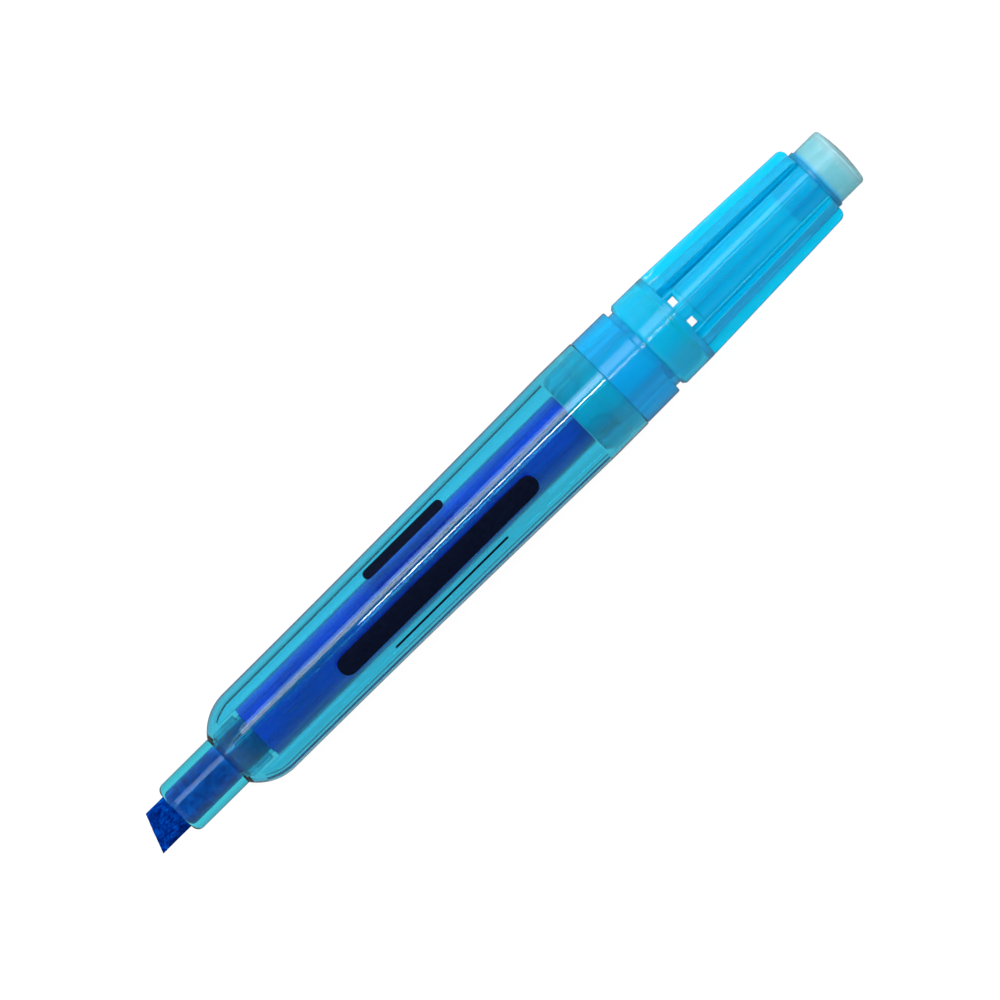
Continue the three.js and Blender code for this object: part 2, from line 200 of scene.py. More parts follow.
def smooth(obj, sharp_degrees=34):
    """Outward faces, smooth shading with sharp corners kept, and flat faces that stay flat."""
    work = bmesh.new()
    work.from_mesh(obj.data)
    bmesh.ops.dissolve_degenerate(work, dist=1e-8, edges=work.edges)
    bmesh.ops.recalc_face_normals(work, faces=work.faces)
    work.to_mesh(obj.data)
    work.free()
    obj.data.shade_smooth()
    obj.data.set_sharp_from_angle(angle=math.radians(sharp_degrees))
    weighted = obj.modifiers.new("even_normals", "WEIGHTED_NORMAL")
    weighted.keep_sharp = True
    return obj


def to_world(point, shrink=ROUND):
    x, y, z = point
    return (NIB_POINT + x * MM, y * shrink * MM, AXIS_HEIGHT + z * shrink * MM)


def grid_solid(name, rings, closed=True, removed=(), extra=(), shrink=ROUND):
    """A closed solid from rings of points round the axis.

    closed joins the last ring to the first. removed holds (ring, point) cells left open, and extra
    holds further faces as lists of (ring, point).
    """
    count = len(rings[0])
    index, coords, place = {}, [], {}
    for k, ring in enumerate(rings):
        for j, point in enumerate(ring):
            key = tuple(round(c, 6) for c in point)
            if key not in place:
                place[key] = len(coords)
                coords.append(to_world(point, shrink))
            index[k, j] = place[key]
    cells = []
    for k in range(len(rings) if closed else len(rings) - 1):
        k2 = (k + 1) % len(rings)
        for j in range(count):
            if (k, j) not in removed:
                j2 = (j + 1) % count
                cells.append([(k, j), (k, j2), (k2, j2), (k2, j)])
    faces = []
    for cell in cells + list(extra):
        face = []
        for corner in cell:
            if index[corner] not in face:
                face.append(index[corner])
        if len(face) > 2:
            faces.append(face)
    return smooth(new_object(name, coords, faces))


def turned(name, profile, closed=True, angles=None):
    angles = angles or even_angles()
    rings = [circle_ring(x, r, angles) for x, r in filleted(profile, closed)]
    return grid_solid(name, rings, closed)


# ------------------------------------------------------------------ colours and skins
PLASTIC_IOR = 1.49
CLEAR_TINT, CLEAR_DEEPER = (0.97, 0.995, 1.0), (0.93, 0.985, 1.0)
MILKY_CLEAR = 0.8  # share of the light that milky plastic doesn't scatter
SATIN_ROUGH, KNOB_ROUGH = (0.07, 0.16), (0.16, 0.28)
SATIN_GRAIN = 0.008  # mm deep
# Besides its two tints the plug has a third, paler one on its part inside the barrel: painted light,
# standing in for how that part looks lit there
PLUG_TINT, PLUG_DEEPER, PLUG_PAINTED_LIGHT_TINT = (0.0, 0.63, 0.91), (0.0, 0.57, 0.87), (0.0, 0.95, 1.0)
PLUG_PAINTED_LIGHT_ENDS = (86.3, 86.6)  # the tint changes over between these two x
CAP_TINT, CAP_DEEPER = (0.0, 0.77, 0.93), (0.0, 0.72, 0.91)
KNOB_TINT, KNOB_DEEPER = (0.46, 0.76, 0.80), (0.34, 0.71, 0.77)
KNOB_FOOT_TINT, KNOB_WARM_TINT = (0.0, 0.62, 0.98), (0.62, 0.76, 0.78)
KNOB_FOOT_ENDS, KNOB_WARMS = (125.2, 126.2), (127.5, 130.0)  # and between these
FELT_INK = (
    (0.41, (0.0, 0.002, 0.03)),
    (0.5, (0.0, 0.010, 0.10)),
    (0.6, (0.0, 0.035, 0.22)),
    (0.74, (0.0, 0.09, 0.42)),
    (0.94, (0.0, 0.2, 0.85)),
)
FIBRE_INK = ((0.36, (0.0, 0.018, 0.38)), (0.5, (0.0, 0.045, 0.78)), (0.64, (0.0, 0.085, 1.0)))
PRINT_INK = ((0.3, (0.0002, 0.001, 0.004)), (0.72, (0.001, 0.003, 0.014)))
FLOOR_WHITE, FLOOR_GLOW, FLOOR_GLOW_IN_MIRRORS = 0.08, 0.92, 0.08


# ------------------------------------------------------------------ node materials
class Nodes:
    """A short way to write a material's node tree."""

    def __init__(self, name):
        self.material = bpy.data.materials.new(name)
        self.material.use_nodes = True
        self.tree = self.material.node_tree
        self.tree.nodes.clear()
        self.out = self.tree.nodes.new("ShaderNodeOutputMaterial")
        self.shader = self.tree.nodes.new("ShaderNodeBsdfPrincipled")
        self.tree.links.new(self.shader.outputs[0], self.out.inputs["Surface"])
        self.place = self.tree.nodes.new("ShaderNodeTexCoord").outputs["Object"]

    def add(self, kind, **settings):
        node = self.tree.nodes.new(kind)
        for key, value in settings.items():
            setattr(node, key, value)
        return node

    def link(self, source, target):
        self.tree.links.new(source, target)

    def stretched(self, stretch, turn=(0, 0, 0)):
        """Object coordinates in millimetres, stretched along the axes."""
        node = self.add("ShaderNodeMapping")
        node.inputs["Scale"].default_value = [s / MM for s in stretch]
        node.inputs["Rotation"].default_value = turn
        self.link(self.place, node.inputs["Vector"])
        return node.outputs[0]

    def along(self, start, end):
        """Rises from 0 to 1 between two distances from the nib's point, in millimetres."""
        split = self.add("ShaderNodeSeparateXYZ")
        self.link(self.stretched((1, 1, 1)), split.inputs[0])
        return self.spread(split.outputs["X"], start - LENGTH / 2, end - LENGTH / 2, 0.0, 1.0)

    def noise(self, stretch, detail=3.0, roughness=0.55, distortion=0.0):
        node = self.add("ShaderNodeTexNoise")
        node.inputs["Scale"].default_value = 1.0
        node.inputs["Detail"].default_value = detail
        node.inputs["Roughness"].default_value = roughness
        node.inputs["Distortion"].default_value = distortion
        self.link(self.stretched(stretch), node.inputs["Vector"])
        return node.outputs["Fac"]

    def spread(self, value, low, high, out_low, out_high):
        node = self.add("ShaderNodeMapRange")
        node.interpolation_type = "SMOOTHSTEP"
        for i, number in enumerate((low, high, out_low, out_high), start=1):
            node.inputs[i].default_value = number
        self.link(value, node.inputs[0])
        return node.outputs[0]

    def ramp(self, value, *stops):
        node = self.add("ShaderNodeValToRGB")
        ramp = node.color_ramp
        while len(ramp.elements) < len(stops):
            ramp.elements.new(0.5)
        for element, (position, colour) in zip(ramp.elements, stops):
            element.position = position
            element.color = (*colour, 1)
        self.link(value, node.inputs[0])
        return node.outputs[0]

    def math(self, operation, a, b):
        node = self.add("ShaderNodeMath", operation=operation)
        for socket, value in zip(node.inputs, (a, b)):
            if isinstance(value, (int, float)):
                socket.default_value = value
            else:
                self.link(value, socket)
        return node.outputs[0]

    def bump(self, height, depth_mm, strength=1.0, before=None):
        node = self.add("ShaderNodeBump")
        node.inputs["Strength"].default_value = strength
        node.inputs["Distance"].default_value = depth_mm * MM
        self.link(height, node.inputs["Height"])
        if before is not None:
            self.link(before, node.inputs["Normal"])
        return node.outputs[0]

    def set(self, **values):
        for key, value in values.items():
            self.shader.inputs[key.replace("_", " ")].default_value = value

    def tinted(self, share, before, after):
        """Base colour that goes from one colour to another with share; each is a socket or plain numbers."""
        node = self.add("ShaderNodeMix", data_type="RGBA")
        self.link(share, node.inputs["Factor"])
        for socket, colour in ((node.inputs[6], before), (node.inputs[7], after)):
            if isinstance(colour, tuple):
                socket.default_value = (*colour, 1)
            else:
                self.link(colour, socket)
        self.tint = node.outputs[2]
        self.link(self.tint, self.shader.inputs["Base Color"])

    def absorb(self, colour, per_metre):
        node = self.add("ShaderNodeVolumeAbsorption")
        node.inputs["Color"].default_value = (*colour, 1)
        node.inputs["Density"].default_value = per_metre
        self.link(node.outputs[0], self.out.inputs["Volume"])


def plastic(name, per_mm, rough, satin, clear, tint, deeper):
    """Tinted see-through plastic with flow lines and fine scuffs in its skin.

    per_mm is what it takes of red, green and blue light in a millimetre, rough the range of its
    roughness, satin the depth of its grain in millimetres and clear the share of light that isn't
    scattered. Its base colour wanders between tint and deeper.
    """
    m = Nodes(name)
    m.set(Transmission_Weight=clear, IOR=PLASTIC_IOR)
    cloud = m.noise((0.16, 0.4, 0.4), 3)
    m.tint = m.ramp(cloud, (0.3, deeper), (0.7, tint))
    m.link(m.tint, m.shader.inputs["Base Color"])
    scuff = m.noise((0.5, 5.0, 5.0), 4, 0.65, 0.4)
    m.link(m.spread(scuff, 0.35, 0.75, *rough), m.shader.inputs["Roughness"])
    flow = m.noise((0.006, 1.3, 1.3), 2)
    skin = m.bump(flow, 0.02, 0.12)
    if satin > 0:
        grain = m.noise((9.0, 9.0, 9.0), 3, 0.6)
        skin = m.bump(grain, satin, 0.6, skin)
    m.link(skin, m.shader.inputs["Normal"])
    density = max(per_mm) * 1.05 / MM  # a little over the strongest, so that no share is below 0
    m.absorb([1 - s / MM / density for s in per_mm], density)
    return m


def clear_plastic(name, per_mm, rough):
    """Polished plastic that scatters nothing."""
    return plastic(name, per_mm, rough, 0.0, 1.0, CLEAR_TINT, CLEAR_DEEPER).material


def milky_plastic(name, per_mm, tint, deeper):
    """Plastic that also scatters a share of the light, with a satin skin."""
    return plastic(name, per_mm, SATIN_ROUGH, SATIN_GRAIN, MILKY_CLEAR, tint, deeper).material


def plug_plastic(name, per_mm):
    """Milky plastic with painted light: paler where it sits inside the barrel, standing in for how that part
    looks lit there.
    """
    m = plastic(name, per_mm, SATIN_ROUGH, SATIN_GRAIN, MILKY_CLEAR, PLUG_TINT, PLUG_DEEPER)
    # painted light: a paler tint on the part inside the barrel
    m.tinted(m.along(*PLUG_PAINTED_LIGHT_ENDS), PLUG_PAINTED_LIGHT_TINT, m.tint)
    return m.material


def knob_plastic(name, per_mm):
    """Pale milky plastic that is blue where it sits in the cap, and warmer towards its end."""
    m = plastic(name, per_mm, KNOB_ROUGH, SATIN_GRAIN, MILKY_CLEAR, KNOB_TINT, KNOB_DEEPER)
    m.tinted(m.along(*KNOB_FOOT_ENDS), KNOB_FOOT_TINT, m.tint)
    m.tinted(m.along(*KNOB_WARMS), m.tint, KNOB_WARM_TINT)
    return m.material


def felt(name):
    """Ink-soaked felt, blotted and threaded, with painted light: paler blue where it sits in the nose and
    the barrel, standing in for how it is lit there.
    """
    m = Nodes(name)
    m.set(Roughness=0.9, Specular_IOR_Level=0.0)
    blot = m.noise((0.9, 1.3, 1.3), 5, 0.65)
    thread = m.noise((2.2, 9.0, 9.0), 4, 0.7, 0.6)
    mixed = m.math("ADD", m.math("MULTIPLY", blot, 0.5), m.math("MULTIPLY", thread, 0.5))
    # painted light: the felt inside the nose and the barrel is made a paler blue, standing in for how it is
    # lit there
    painted_light_in_nose = m.math("MULTIPLY", m.along(4.8, 6.5), 0.13)
    painted_light_in_barrel = m.math("MULTIPLY", m.along(13.5, 15.5), 0.2)
    painted_light = m.math("ADD", painted_light_in_nose, painted_light_in_barrel)
    colour = m.ramp(m.math("ADD", mixed, painted_light), *FELT_INK)
    m.link(colour, m.shader.inputs["Base Color"])
    m.link(m.bump(thread, 0.06, 0.9, m.bump(blot, 0.08, 0.6)), m.shader.inputs["Normal"])
    return m.material


def ink_fibre(name):
    """The reservoir's ink-soaked fibre, streaked along the pen."""
    m = Nodes(name)
    m.set(Specular_IOR_Level=0.05)
    streak = m.noise((0.09, 3.2, 3.2), 5, 0.62, 0.3)
    soak = m.noise((0.07, 0.25, 0.25), 2)
    mixed = m.math("ADD", m.math("MULTIPLY", streak, 0.6), m.math("MULTIPLY", soak, 0.4))
    colour = m.ramp(mixed, *FIBRE_INK)
    m.link(colour, m.shader.inputs["Base Color"])
    m.link(m.spread(streak, 0.3, 0.7, 0.5, 0.75), m.shader.inputs["Roughness"])
    m.link(m.bump(streak, 0.05, 0.5), m.shader.inputs["Normal"])
    return m.material


def printed_ink(name):
    """Near-black ink of uneven cover."""
    m = Nodes(name)
    m.set(Specular_IOR_Level=0.04)
    cover = m.noise((1.4, 4.0, 4.0), 4, 0.7)
    colour = m.ramp(cover, *PRINT_INK)
    m.link(colour, m.shader.inputs["Base Color"])
    m.link(m.spread(cover, 0.3, 0.7, 0.4, 0.55), m.shader.inputs["Roughness"])
    m.link(m.bump(m.noise((6.0, 6.0, 6.0), 3), 0.01, 0.5), m.shader.inputs["Normal"])
    return m.material


def mirror_ray(tree):
    """A socket that is 1 for what is seen as a mirror image, and 0 for what is seen in another way."""
    path = tree.nodes.new("ShaderNodeLightPath")
    both = tree.nodes.new("ShaderNodeMath")
    both.operation = "MULTIPLY"
    tree.links.new(path.outputs["Is Glossy Ray"], both.inputs[0])
    tree.links.new(path.outputs["Is Reflection Ray"], both.inputs[1])
    return both.outputs[0]


def backdrop(name):
    """White paper that glows a little, less so in mirror images."""
    m = Nodes(name)
    m.set(Base_Color=(FLOOR_WHITE, FLOOR_WHITE, FLOOR_WHITE, 1), Roughness=0.9, Specular_IOR_Level=0.0)
    m.set(Emission_Color=(1, 1, 1, 1))
    glow = m.spread(mirror_ray(m.material.node_tree), 0.0, 1.0, FLOOR_GLOW, FLOOR_GLOW_IN_MIRRORS)
    m.link(glow, m.shader.inputs["Emission Strength"])
    return m.material


MATERIALS = {
    "barrel": clear_plastic("barrel_plastic", (1.6, 0.34, 0.20), rough=(0.0, 0.02)),
    "holder": clear_plastic("holder_plastic", (1.2, 0.24, 0.17), rough=(0.03, 0.08)),
    "film": clear_plastic("film_plastic", (0.6, 0.2, 0.05), rough=(0.05, 0.12)),
    "plug": plug_plastic("plug_plastic", (1.2, 0.14, 0.05)),
    "cap": milky_plastic("cap_plastic", (1.2, 0.19, 0.07), CAP_TINT, CAP_DEEPER),
    "knob": knob_plastic("knob_plastic", (0.8, 0.12, 0.08)),
    "felt": felt("nib_felt"),
    "fibre": ink_fibre("reservoir_fibre"),
    "print": printed_ink("printed_ink"),
}


def finish_piece(obj, material, node, body):
    """Gives a piece its material, hides the CAD part that it stands for and parents it to the body that it
    moves with.
    """
    obj.data.materials.clear()
    obj.data.materials.append(MATERIALS[material])
    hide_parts(node)
    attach(obj, body)
    return obj


# ------------------------------------------------------------------ nib and holder
def nib_front(across, height):
    """How far from the nib's point its slanted chisel end lies, at a place across its section."""
    wedge = NIB_FACET * abs(height) / (NIB_THICKNESS / 2)
    return (wedge + (across + NIB_WIDTH / 2) * math.sin(NIB_SLANT)) / math.cos(NIB_SLANT)


def nib_section(scale, count):
    """Points round the rounded bar's section, drawn in towards its middle by scale."""
    half_w, half_t = NIB_WIDTH / 2, NIB_THICKNESS / 2
    straight_w, straight_t = half_w - NIB_CORNER, half_t - NIB_CORNER
    lengths = [2 * straight_t, NIB_CORNER * math.pi / 2, 2 * straight_w, NIB_CORNER * math.pi / 2] * 2
    total = sum(lengths)
    corners = [
        (straight_w, straight_t),
        (-straight_w, straight_t),
        (-straight_w, -straight_t),
        (straight_w, -straight_t),
    ]
    sides = [
        ((half_w, -straight_t), (half_w, straight_t)),
        ((straight_w, half_t), (-straight_w, half_t)),
        ((-half_w, straight_t), (-half_w, -straight_t)),
        ((-straight_w, -half_t), (straight_w, -half_t)),
    ]
    points = []
    for i in range(count):
        along = total * i / count
        part = 0
        while along > lengths[part]:
            along -= lengths[part]
            part += 1
        share = along / lengths[part]
        side = part // 2
        if part % 2 == 0:
            a, b = sides[side]
            point = (a[0] + (b[0] - a[0]) * share, a[1] + (b[1] - a[1]) * share)
        else:
            cx, cz = corners[side]
            angle = (side + share) * math.pi / 2
            point = (cx + NIB_CORNER * math.cos(angle), cz + NIB_CORNER * math.sin(angle))
        points.append((point[0] * scale, point[1] * scale))
    return points


def make_nib():
    """Felt bar: the section's rings run out over the chisel end, along the sides and in at the rear."""
    count, end_rings = 120, 15
    square_from = 6.0  # behind the slant the rings are square to the axis
    rear = ((20.3, 1.0), (22.0, 0.72), (24.0, 0.42), (25.1, 0.24))  # x and scale of the tapered rear
    rings = []
    for step in range(1, end_rings):
        ring = nib_section(step / end_rings, count)
        rings.append([(nib_front(y, z), y, z) for y, z in ring])
    full = nib_section(1.0, count)
    for t in (0, 0.02, 0.05, 0.1, 0.2, 0.35, 0.5, 0.65, 0.8, 1.0):
        rings.append([(nib_front(y, z) * (1 - t) + square_from * t, y, z) for y, z in full])
    for i in range(19):
        rings.append([(7 + i * 0.7, y, z) for y, z in full])
    for x, scale in rear:
        rings.append([(x, y * scale, z * scale) for y, z in full])
    middle_front = [(nib_front(0, 0), 0, 0)] * count
    middle_back = [(NIB_END, 0, 0)] * count
    nib = grid_solid("chisel_nib", [middle_front, *rings, middle_back], closed=False, shrink=1.0)
    fuzz = nib.modifiers.new("felt_close", "SUBSURF")
    fuzz.subdivision_type = "SIMPLE"
    fuzz.levels = fuzz.render_levels = 1
    roughen_felt(nib)
    return finish_piece(nib, "felt", "nib", "pen")


def roughen_felt(nib):
    """Small dents in the felt that is seen, inwards only so that the nib keeps its size."""
    deepest, hidden_from = 0.07 * MM, NIB_POINT + 19 * MM
    coarse_per_mm, fine_per_mm = 1.1, 3.1
    for vertex in nib.data.vertices:
        if vertex.co.x > hidden_from:
            continue
        coarse = noise.noise(vertex.co * (coarse_per_mm / MM)) * 0.5 + 0.5
        fine = noise.noise(vertex.co * (fine_per_mm / MM)) * 0.5 + 0.5
        vertex.co -= vertex.normal * deepest * (0.55 * coarse + 0.45 * fine)


def make_holder():
    """The nose tube, with a rounded lip in front and its spigot in the barrel's sleeve."""
    lip = NOSE_RADIUS - NOSE_BORE
    profile = [
        *arc(NOSE_FRONT + lip, NOSE_BORE, lip, 180, 90, 8),
        (BARREL_FRONT - AIR, NOSE_RADIUS, 0.12),
        (BARREL_FRONT - AIR, SPIGOT_RADIUS, 0.05),
        (RESERVOIR_FRONT - AIR, SPIGOT_RADIUS, 0.15),
        (RESERVOIR_FRONT - AIR, NOSE_BORE, 0.1),
    ]
    return finish_piece(turned("nose_tube", profile), "holder", "nib_holder", "pen")


# ------------------------------------------------------------------ barrel
def barrel_radius(x):
    """The barrel's outside, which swells towards its rear."""
    if x >= WIDE_START:
        return BARREL_WIDE
    share = max(x - SHOULDER_END, 0) / (WIDE_START - SHOULDER_END)
    return BARREL_SLIM + (BARREL_WIDE - BARREL_SLIM) * share**BARREL_SWELL


def shoulder_radius(x, depth):
    """The round shoulder, at a depth under its outside."""
    radius = SHOULDER_ARC - depth
    return SHOULDER_CENTRE + math.sqrt(max(radius**2 - (SHOULDER_END - x) ** 2, 0))


def barrel_outside():
    """The barrel's (x, r) profile from its front, over the outside, to where the ribs end inside."""
    front_angle = math.degrees(math.acos((BARREL_FRONT - SHOULDER_END) / SHOULDER_ARC))
    steps = 30
    outer = [(BARREL_FRONT, SPIGOT_RADIUS + AIR)]
    outer += arc(SHOULDER_END, SHOULDER_CENTRE, SHOULDER_ARC, front_angle, 90, 18)
    for i in range(1, steps + 1):
        x = SHOULDER_END + (WIDE_START - SHOULDER_END) * i / steps
        outer.append((x, barrel_radius(x)))
    outer += filleted(
        [
            (WIDE_START + 0.1, BARREL_WIDE),
            (WIDE_END, BARREL_WIDE, 0.3),
            (BARREL_REAR, BARREL_RIM, 0.2),
            (BARREL_REAR, SEAT_RADIUS, 0.06),
            (SNAP_END + 0.05, SEAT_RADIUS),
        ],
        closed=False,
    )[1:]
    outer += [
        (SNAP_END + 0.05, SEAT_RADIUS + SNAP_DEPTH),
        (SNAP_START - 0.05, SEAT_RADIUS + SNAP_DEPTH),
        (SNAP_START - 0.05, SEAT_RADIUS),
        (WIDE_START, SEAT_RADIUS + 0.02),
        (RIB_REAR, barrel_radius(RIB_REAR) - BARREL_WALL),
    ]
    return outer


def sleeve_profile(foot):
    """The (x, r) profile of the sleeve that holds the nose, from its foot in the shoulder."""
    sleeve = [
        (foot + 0.1, SLEEVE_RADIUS),
        (SLEEVE_END, SLEEVE_RADIUS, 0.15),
        (SLEEVE_END, SPIGOT_RADIUS + AIR, 0.1),
        (BARREL_FRONT, SPIGOT_RADIUS + AIR),
    ]
    return filleted(sleeve, closed=False)[:-1]


def make_barrel():
    """The shell, round shoulder, holder sleeve and long inner ribs, as one moulding."""
    foot = CORE_RADIUS + FILM_THICKNESS + 0.1
    ribs = (RIB_THICKNESS, RIBS, RIB_TURN, 0.4, 0.2)
    long_steps, shoulder_steps = 30, 6

    def ribbed(x, radius):
        return outline_ring(x, radial_outline(radius, foot, *ribs))

    inside = barrel_radius(60) - BARREL_WALL
    angles = angles_of(radial_outline(inside, foot, *ribs))
    rings = [circle_ring(x, r, angles) for x, r in barrel_outside()]
    for i in range(long_steps + 1):
        x = RIB_REAR + (SHOULDER_END - RIB_REAR) * i / long_steps
        rings.append(ribbed(x, barrel_radius(x) - BARREL_WALL))
    for i in range(1, shoulder_steps + 1):
        x = SHOULDER_END + (RIB_FRONT - SHOULDER_END) * i / shoulder_steps
        rings.append(ribbed(x, shoulder_radius(x, BARREL_WALL)))
    inner_arc = SHOULDER_ARC - BARREL_WALL
    sleeve_foot = SHOULDER_END - math.sqrt(inner_arc**2 - (SLEEVE_RADIUS - SHOULDER_CENTRE) ** 2)
    for i in range(shoulder_steps + 1):
        x = RIB_FRONT + (sleeve_foot - RIB_FRONT) * i / shoulder_steps
        rings.append(circle_ring(x, shoulder_radius(x, BARREL_WALL), angles))
    rings += [circle_ring(x, r, angles) for x, r in sleeve_profile(sleeve_foot)]
    return finish_piece(grid_solid("ribbed_barrel", rings), "barrel", "barrel", "pen")


# ------------------------------------------------------------------ ink reservoir
def make_core():
    """The fibre bundle, hollowed in front for the nib's rear."""
    recess = NIB_WIDTH / 2 + 0.05
    profile = [
        (NIB_END + 0.02, 0),
        (NIB_END + 0.02, 0.65),
        (RESERVOIR_FRONT, recess, 0.1),
        (RESERVOIR_FRONT, CORE_RADIUS, 0.25),
        *[(x, CORE_RADIUS) for x in range(24, 78, 6)],
        (RESERVOIR_REAR, CORE_RADIUS, 0.25),
        (RESERVOIR_REAR, 0),
    ]
    core = turned("fibre_core", profile, closed=False)
    return finish_piece(core, "fibre", "reservoir_core", "pen")


def make_film():
    """The thin wrap round the fibre bundle."""
    inside = CORE_RADIUS + AIR
    outside = CORE_RADIUS + FILM_THICKNESS + 0.02
    profile = [
        (RESERVOIR_FRONT, inside),
        (RESERVOIR_FRONT, outside),
        (RESERVOIR_REAR, outside),
        (RESERVOIR_REAR, inside),
    ]
    return finish_piece(turned("reservoir_wrap", profile), "film", "reservoir_film", "pen")


# ------------------------------------------------------------------ rear plug
def make_plug():
    """The cup pressed into the barrel, with the snap ring, the collar, the tail and gussets inside."""
    inside_end = TAIL_END - TAIL_WALL
    gussets = (0.8, GUSSETS, math.pi / GUSSETS, 0.2, 0.15)

    def foot(x):
        return GUSSET_FOOT + 1.5 * (x - PLUG_FRONT) / (GUSSET_REAR - PLUG_FRONT)

    angles = angles_of(radial_outline(PLUG_BORE, GUSSET_FOOT, *gussets))
    inner = [(inside_end, 0), (inside_end, 3.0)]
    inner += arc(inside_end - 1.0, PLUG_BORE - 1.0, 1.0, 0, 90, 6)
    rings = [circle_ring(x, r, angles) for x, r in inner]
    rings.append(circle_ring(GUSSET_REAR + 1.0, PLUG_BORE, angles))
    for x in (GUSSET_REAR, 82.2, 81.4, 80.6, PLUG_FRONT + 0.05):
        rings.append(outline_ring(x, radial_outline(PLUG_BORE, foot(x), *gussets)))
    rings += [circle_ring(x, r, angles) for x, r in plug_outside()]
    plug = grid_solid("rear_plug_cup", rings, closed=False)
    return finish_piece(plug, "plug", "rear_plug", "pen")


def plug_outside():
    """The plug's (x, r) profile from its open front to the middle of the tail's end."""
    insert = SEAT_RADIUS - AIR
    snap = insert + SNAP_DEPTH - 0.02
    outer = filleted(
        [
            (PLUG_FRONT, PLUG_BORE, 0.08),
            (PLUG_FRONT, insert - 0.6, 0.1),
            (PLUG_FRONT + 1.0, insert, 0.3),
            (SNAP_START, insert),
            (SNAP_START + 0.15, snap, 0.1),
            (SNAP_END - 0.15, snap, 0.1),
            (SNAP_END, insert),
            (BARREL_REAR + AIR, insert, 0.04),
            (BARREL_REAR + AIR, COLLAR_FRONT_RADIUS, 0.12),
            (COLLAR_REAR, COLLAR_REAR_RADIUS, 0.25),
            (COLLAR_REAR, TAIL_RADIUS, 0.12),
            (TAIL_END - TAIL_CORNER, TAIL_RADIUS),
        ],
        closed=False,
    )
    outer += arc(TAIL_END - TAIL_CORNER, TAIL_RADIUS - TAIL_CORNER, TAIL_CORNER, 90, 0, 8)
    outer += [(TAIL_END, 3.0), (TAIL_END, 0)]
    return outer


# ------------------------------------------------------------------ cap
def tube_radius(x):
    """The cap's tube between the fins, which narrows towards the rear."""
    share = (x - STEP_REAR) / (TUBE_REAR - STEP_REAR)
    return TUBE_FRONT_RADIUS + (TUBE_REAR_RADIUS - TUBE_FRONT_RADIUS) * share


def fin_crest(x):
    """The fins' outer edge, which falls towards the rear and ends in a rounded corner."""
    fall = (FIN_FRONT_CREST - FIN_REAR_CREST) / (TUBE_REAR - STEP_REAR)
    corner_start = TUBE_REAR - FIN_CORNER
    level = FIN_FRONT_CREST - 0.02 - fall * (min(x, corner_start) - STEP_REAR)
    past = max(x - corner_start, 0)
    return level - FIN_CORNER + math.sqrt(max(FIN_CORNER**2 - past**2, 0))


def cap_stations():
    """Where the finned tube has rings: at the vents, along the fins and round their rear corners."""
    rear_from = TUBE_REAR - FIN_CORNER
    stations = [STEP_REAR, VENT_START, VENT_START + 0.4, VENT_START + 0.8, VENT_START + VENT_LENGTH]
    stations += [SEAL_START + (rear_from - SEAL_START) * i / 14 for i in range(15)]
    stations += [rear_from + FIN_CORNER * math.sin(math.radians(a)) for a in (20, 40, 55, 68, 78, 85, 90)]
    return stations


def cap_collar():
    """The collar's (x, r) profile from the mouth to the step behind it."""
    return filleted(
        [
            (CAP_MOUTH, SOCKET_RADIUS, 0.1),
            (CAP_MOUTH, CAP_MOUTH_RADIUS, 0.1),
            (CAP_MOUTH + 0.5, CAP_COLLAR_RADIUS, 0.3),
            (STEP_REAR, CAP_COLLAR_RADIUS - 0.05, 0.22),
            (STEP_REAR, TUBE_FRONT_RADIUS),
        ],
        closed=False,
    )[:-1]


def cap_socket():
    """The (x, r) profile inside the mouth, from behind the step to the mouth."""
    return filleted(
        [
            (VENT_START - 0.1, TUBE_ENTRY),
            (CAP_STEP, TUBE_ENTRY, 0.1),
            (CAP_STEP, SOCKET_RADIUS, 0.3),
            (CAP_MOUTH, SOCKET_RADIUS),
        ],
        closed=False,
    )[1:-1]


def make_cap():
    """The collar, its step, the finned tube and the vents between the fins."""
    half_vent = math.asin(VENT_WIDTH / 2 / TUBE_FRONT_RADIUS)
    fins = (FIN_THICKNESS, FINS, 0.0, 0.22, 0.22, (-half_vent, half_vent))
    bevel = 0.1
    bore = [
        (TUBE_REAR, SEAL_BORE + bevel),
        (TUBE_REAR - bevel, SEAL_BORE),
        (118.0, SEAL_BORE),
        (110.0, SEAL_BORE),
        (SEAL_START + bevel, SEAL_BORE),
        (SEAL_START, SEAL_BORE + bevel),
        (SEAL_START, TUBE_ENTRY),
    ]
    angles = angles_of(radial_outline(tube_radius(STEP_REAR), fin_crest(STEP_REAR), *fins))
    stations = cap_stations()
    rings = [circle_ring(x, r, angles) for x, r in cap_collar()]
    outer_vent = [len(rings) + 1 + i for i in range(VENT_RINGS)]
    for x in stations:
        rings.append(outline_ring(x, radial_outline(tube_radius(x), fin_crest(x), *fins)))
    rings += [circle_ring(x, r, angles) for x, r in bore]
    inner_vent = [len(rings) + i for i in range(VENT_RINGS)]
    rings += [circle_ring(x, TUBE_ENTRY, angles) for x in reversed(stations[1 : 1 + VENT_RINGS])]
    rings += [circle_ring(x, r, angles) for x, r in cap_socket()]
    removed, extra = vent_faces(angles, half_vent, outer_vent, inner_vent)
    cap = grid_solid("finned_cap", rings, removed=removed, extra=extra)
    return finish_piece(cap, "cap", "cap_shell", "cap")


